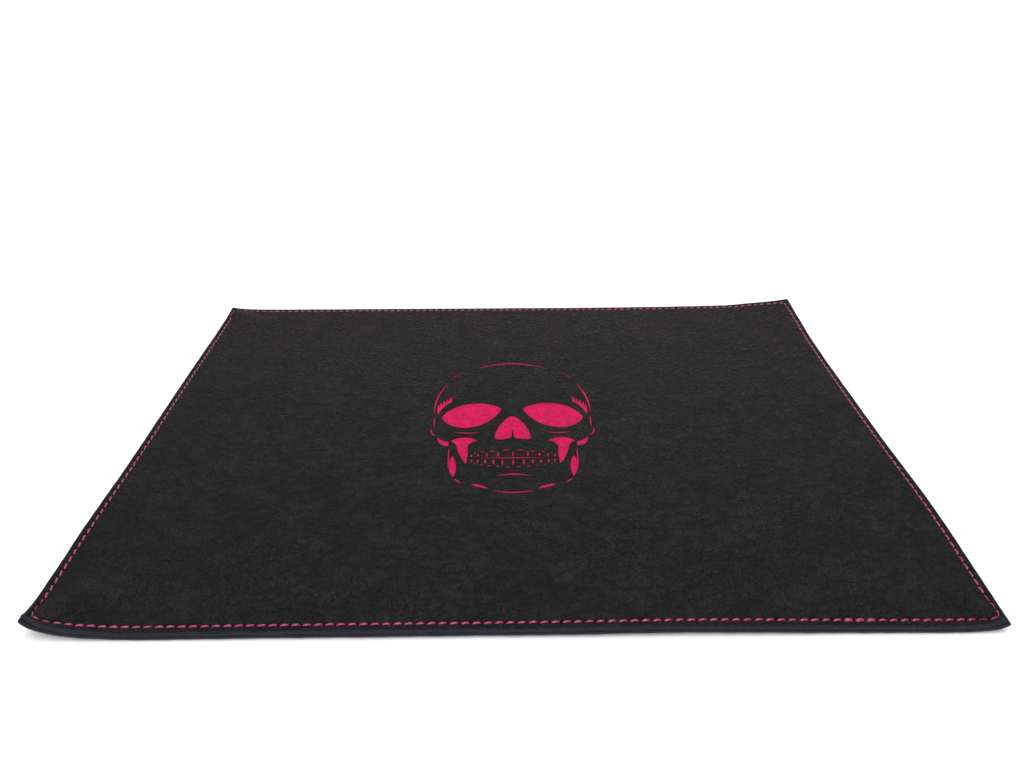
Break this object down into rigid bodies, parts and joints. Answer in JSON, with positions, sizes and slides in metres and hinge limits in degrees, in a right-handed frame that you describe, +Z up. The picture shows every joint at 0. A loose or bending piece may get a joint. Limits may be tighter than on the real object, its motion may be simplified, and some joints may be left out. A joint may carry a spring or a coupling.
{
  "type": "folding dice tray",
  "caption": "Flat stitched leather mat whose walls fold up and whose corners pinch into magnet-held ears to make a shallow tray for rolling dice.",
  "frame": {"origin": "centre of the footprint, on the surface that the mat rests on", "axes": "+X to the right along the long side, +Y from the front edge to the back edge, +Z up through the thickness"},
  "size_m": [0.2794, 0.2032, 0.0084],
  "materials": {
    "top_leather": "black natural-grain leather, lightly waxed, low sheen",
    "backing_leather": "black leather backing, smooth face outwards, dyed edges",
    "thread": "crimson pink waxed twisted thread",
    "skull_paint": "crimson pink leather paint in an engraved recess, satin",
    "magnet": "nickel-plated disc magnet, hidden between the layers"
  },
  "bodies": {
    "floor": {"floor_leather": "top_leather", "floor_backing": "backing_leather", "skull_inlay": "skull_paint"},
    "front_wall": {"front_wall_leather": "top_leather", "front_wall_backing": "backing_leather", "front_wall_stitches": "thread"},
    "back_wall": {"back_wall_leather": "top_leather", "back_wall_backing": "backing_leather", "back_wall_stitches": "thread"},
    "left_wall": {"left_wall_leather": "top_leather", "left_wall_backing": "backing_leather", "left_wall_stitches": "thread"},
    "right_wall": {"right_wall_leather": "top_leather", "right_wall_backing": "backing_leather", "right_wall_stitches": "thread"},
    "front_left_ear_front": {"front_left_ear_front_leather": "top_leather", "front_left_ear_front_backing": "backing_leather", "front_left_ear_front_stitches": "thread", "front_left_ear_front_magnet": "magnet"},
    "front_left_ear_left": {"front_left_ear_left_leather": "top_leather", "front_left_ear_left_backing": "backing_leather", "front_left_ear_left_stitches": "thread", "front_left_ear_left_magnet": "magnet"},
    "front_right_ear_front": {"front_right_ear_front_leather": "top_leather", "front_right_ear_front_backing": "backing_leather", "front_right_ear_front_stitches": "thread", "front_right_ear_front_magnet": "magnet"},
    "front_right_ear_right": {"front_right_ear_right_leather": "top_leather", "front_right_ear_right_backing": "backing_leather", "front_right_ear_right_stitches": "thread", "front_right_ear_right_magnet": "magnet"},
    "back_left_ear_back": {"back_left_ear_back_leather": "top_leather", "back_left_ear_back_backing": "backing_leather", "back_left_ear_back_stitches": "thread", "back_left_ear_back_magnet": "magnet"},
    "back_left_ear_left": {"back_left_ear_left_leather": "top_leather", "back_left_ear_left_backing": "backing_leather", "back_left_ear_left_stitches": "thread", "back_left_ear_left_magnet": "magnet"},
    "back_right_ear_back": {"back_right_ear_back_leather": "top_leather", "back_right_ear_back_backing": "backing_leather", "back_right_ear_back_stitches": "thread", "back_right_ear_back_magnet": "magnet"},
    "back_right_ear_right": {"back_right_ear_right_leather": "top_leather", "back_right_ear_right_backing": "backing_leather", "back_right_ear_right_stitches": "thread", "back_right_ear_right_magnet": "magnet"}
  },
  "joints": [
    {"name": "front_wall_fold", "type": "hinge", "parent": "floor", "child": "front_wall", "pos_m": [0, -0.07095, 0.003], "axis": [-1, 0, 0], "range_deg": [0, 90]},
    {"name": "back_wall_fold", "type": "hinge", "parent": "floor", "child": "back_wall", "pos_m": [0, 0.07095, 0.003], "axis": [1, 0, 0], "range_deg": [0, 90]},
    {"name": "left_wall_fold", "type": "hinge", "parent": "floor", "child": "left_wall", "pos_m": [-0.10905, 0, 0.003], "axis": [0, 1, 0], "range_deg": [0, 90]},
    {"name": "right_wall_fold", "type": "hinge", "parent": "floor", "child": "right_wall", "pos_m": [0.10905, 0, 0.003], "axis": [0, -1, 0], "range_deg": [0, 90]},
    {"name": "front_left_ear_front_fold", "type": "hinge", "parent": "front_wall", "child": "front_left_ear_front", "pos_m": [-0.10845, -0.08597, 0.003], "axis": [0, -1, 0], "range_deg": [0, 55.7]},
    {"name": "front_left_ear_left_fold", "type": "hinge", "parent": "left_wall", "child": "front_left_ear_left", "pos_m": [-0.12408, -0.07035, 0.003], "axis": [1, 0, 0], "range_deg": [0, 55.7]},
    {"name": "front_right_ear_front_fold", "type": "hinge", "parent": "front_wall", "child": "front_right_ear_front", "pos_m": [0.10845, -0.08597, 0.003], "axis": [0, 1, 0], "range_deg": [0, 49.41]},
    {"name": "front_right_ear_right_fold", "type": "hinge", "parent": "right_wall", "child": "front_right_ear_right", "pos_m": [0.12408, -0.07035, 0.003], "axis": [1, 0, 0], "range_deg": [0, 49.41]},
    {"name": "back_left_ear_back_fold", "type": "hinge", "parent": "back_wall", "child": "back_left_ear_back", "pos_m": [-0.10845, 0.08597, 0.003], "axis": [0, -1, 0], "range_deg": [0, 50.88]},
    {"name": "back_left_ear_left_fold", "type": "hinge", "parent": "left_wall", "child": "back_left_ear_left", "pos_m": [-0.12408, 0.07035, 0.003], "axis": [-1, 0, 0], "range_deg": [0, 50.88]},
    {"name": "back_right_ear_back_fold", "type": "hinge", "parent": "back_wall", "child": "back_right_ear_back", "pos_m": [0.10845, 0.08597, 0.003], "axis": [0, 1, 0], "range_deg": [0, 50.88]},
    {"name": "back_right_ear_right_fold", "type": "hinge", "parent": "right_wall", "child": "back_right_ear_right", "pos_m": [0.12408, 0.07035, 0.003], "axis": [-1, 0, 0], "range_deg": [0, 50.88]}
  ],
  "couplings": [
    {"joint": "back_wall_fold", "follows": "front_wall_fold", "ratio": 1},
    {"joint": "left_wall_fold", "follows": "front_wall_fold", "ratio": 1},
    {"joint": "right_wall_fold", "follows": "front_wall_fold", "ratio": 1},
    {"joint": "front_left_ear_front_fold", "follows": "front_wall_fold", "ratio": 0.61884},
    {"joint": "front_left_ear_left_fold", "follows": "front_wall_fold", "ratio": 0.61884},
    {"joint": "front_right_ear_front_fold", "follows": "front_wall_fold", "ratio": 0.54894},
    {"joint": "front_right_ear_right_fold", "follows": "front_wall_fold", "ratio": 0.54894},
    {"joint": "back_left_ear_back_fold", "follows": "front_wall_fold", "ratio": 0.5653},
    {"joint": "back_left_ear_left_fold", "follows": "front_wall_fold", "ratio": 0.5653},
    {"joint": "back_right_ear_back_fold", "follows": "front_wall_fold", "ratio": 0.5653},
    {"joint": "back_right_ear_right_fold", "follows": "front_wall_fold", "ratio": 0.5653}
  ]
}
